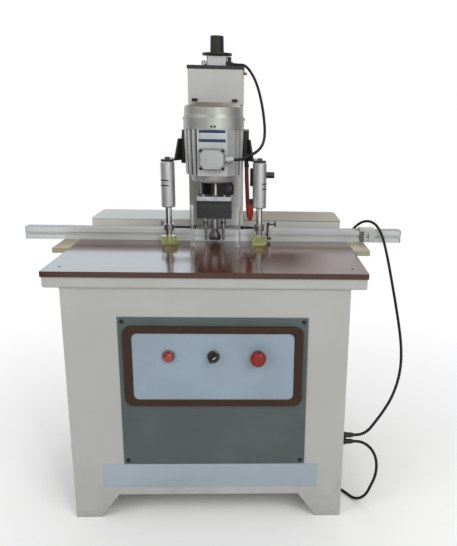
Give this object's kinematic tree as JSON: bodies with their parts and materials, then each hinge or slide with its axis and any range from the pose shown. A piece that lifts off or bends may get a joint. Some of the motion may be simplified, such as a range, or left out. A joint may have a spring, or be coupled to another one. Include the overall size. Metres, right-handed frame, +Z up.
{
  "type": "hinge boring machine",
  "caption": "Free-standing hinge boring machine: sheet-metal cabinet, laminated table with a fence, vertical motor on a pneumatic slide driving a geared boring head, and pneumatic hold-downs.",
  "frame": {"origin": "on the floor under the middle of the machine, measured without its cords", "axes": "+X to the operator's right along the fence, +Y away from the operator, +Z up"},
  "size_m": [1.127, 0.6744, 1.2868],
  "materials": {
    "cabinet_paint": "satin light warm grey powder coat",
    "frame_paint": "satin light grey",
    "table_laminate": "glossy brown laminate on board",
    "wing_paint": "satin khaki",
    "panel_paint": "satin slate grey",
    "screw_black": "black oxide",
    "bezel_brown": "matte dark brown",
    "plate_blue": "satin light steel blue",
    "device_metal": "bright ring",
    "lamp_red": "glossy translucent red",
    "knob_black": "matte black",
    "button_red": "glossy red",
    "control_plastic": "matte grey",
    "gland_black": "matte black",
    "column_paint": "satin light grey",
    "black_paint": "satin black",
    "rail_steel": "ground steel",
    "cylinder_aluminium": "anodised aluminium",
    "fitting_brass": "dark plated brass",
    "nut_steel": "zinc-plated steel",
    "fence_aluminium": "mill-finish aluminium",
    "bracket_steel": "satin cream",
    "stop_steel": "dark plated steel",
    "hose_red": "satin red hose",
    "cable_rubber": "matte black sheath",
    "plug_plastic": "matte black",
    "slide_steel": "satin khaki grey",
    "rod_chrome": "hard chrome",
    "motor_silver": "silver paint on cast aluminium",
    "cowl_silver": "silver paint on sheet",
    "bearing_steel": "ground steel",
    "collar_black": "blackened casting",
    "cover_aluminium": "machined aluminium",
    "rotor_iron": "laminated iron on a steel shaft",
    "spindle_steel": "turned steel",
    "bit_steel": "ground tool steel",
    "foot_urethane": "translucent yellow-green",
    "guard_arm_steel": "plated steel",
    "guard_clear": "clear sheet"
  },
  "bodies": {
    "base": {"cabinet_front": "cabinet_paint", "cabinet_panels": "cabinet_paint", "cabinet_floor": "cabinet_paint", "table_frame": "frame_paint", "table_top": "table_laminate", "rear_deck": "frame_paint", "fence_wings": "wing_paint", "front_panel": "panel_paint", "panel_screws": "screw_black", "control_bezel": "bezel_brown", "control_plate": "plate_blue", "device_bezels": "device_metal", "lamp_lens": "lamp_red", "button_collar": "device_metal", "control_gear": "control_plastic", "cable_glands": "gland_black", "column": "column_paint", "column_cover": "column_paint", "top_plate": "black_paint", "guide_rails": "rail_steel", "feed_cylinder": "cylinder_aluminium", "air_fittings": "fitting_brass", "clamp_arms": "black_paint", "clamp_cylinders": "cylinder_aluminium", "clamp_nuts": "nut_steel", "fence_beam": "fence_aluminium", "fence_bracket": "bracket_steel", "air_hose": "hose_red", "motor_cable_lower": "cable_rubber", "mains_lead": "cable_rubber", "mains_coil": "cable_rubber", "mains_plug": "plug_plastic"},
    "head": {"slide_plate": "slide_steel", "guide_carriages": "rail_steel", "feed_rod": "rod_chrome", "motor_frame": "motor_silver", "motor_shield": "motor_silver", "fan_cowl": "cowl_silver", "terminal_box": "motor_silver", "bearings": "bearing_steel", "collar_clamp": "collar_black", "gearbox_cover": "cover_aluminium", "gearbox_case": "collar_black", "motor_cable_upper": "cable_rubber"},
    "knob": {"depth_knob": "knob_black"},
    "centre_drive": {"rotor": "rotor_iron", "centre_spindle": "spindle_steel", "cup_bit": "bit_steel"},
    "left_drive": {"left_spindle": "spindle_steel", "left_bit": "bit_steel"},
    "right_drive": {"right_spindle": "spindle_steel", "right_bit": "bit_steel"},
    "hold_downs": {"clamp_rods": "rod_chrome", "clamp_feet": "foot_urethane", "guard_arms": "guard_arm_steel", "guard": "guard_clear"},
    "selector": {"selector_knob": "knob_black"},
    "stop_button": {"button_head": "button_red"},
    "stop_left": {"left_stop": "stop_steel"},
    "stop_right": {"right_stop": "stop_steel"}
  },
  "joints": [
    {"name": "head_feed", "type": "slide", "parent": "base", "child": "head", "axis": [0, 0, 1], "range_m": [0, 0.06], "deforming": ["motor_cable_upper"]},
    {"name": "knob_turn", "type": "hinge", "parent": "head", "child": "knob", "pos_m": [0, 0.24215, 1.228], "axis": [0, 0, 1], "continuous": true},
    {"name": "centre_spin", "type": "hinge", "parent": "head", "child": "centre_drive", "pos_m": [0, 0.05015, 0.77], "axis": [0, 0, 1], "continuous": true},
    {"name": "left_spin", "type": "hinge", "parent": "head", "child": "left_drive", "pos_m": [-0.026, 0.04465, 0.77], "axis": [0, 0, 1], "continuous": true},
    {"name": "right_spin", "type": "hinge", "parent": "head", "child": "right_drive", "pos_m": [0.026, 0.04465, 0.77], "axis": [0, 0, 1], "continuous": true},
    {"name": "hold_down", "type": "slide", "parent": "base", "child": "hold_downs", "axis": [0, 0, 1], "range_m": [0, 0.04]},
    {"name": "selector_turn", "type": "hinge", "parent": "base", "child": "selector", "pos_m": [0.016, -0.30585, 0.474], "axis": [0, -1, 0], "range_deg": [0, 90]},
    {"name": "stop_push", "type": "slide", "parent": "base", "child": "stop_button", "axis": [0, 1, 0], "range_m": [0, 0.005], "stiffness_N_per_m": 800},
    {"name": "left_stop_slide", "type": "slide", "parent": "base", "child": "stop_left", "axis": [1, 0, 0], "range_m": [-0.39, 0.005]},
    {"name": "right_stop_slide", "type": "slide", "parent": "base", "child": "stop_right", "axis": [1, 0, 0], "range_m": [-0.03, 0.25]}
  ],
  "couplings": [
    {"joint": "left_spin", "follows": "centre_spin", "ratio": -1},
    {"joint": "right_spin", "follows": "centre_spin", "ratio": -1}
  ]
}
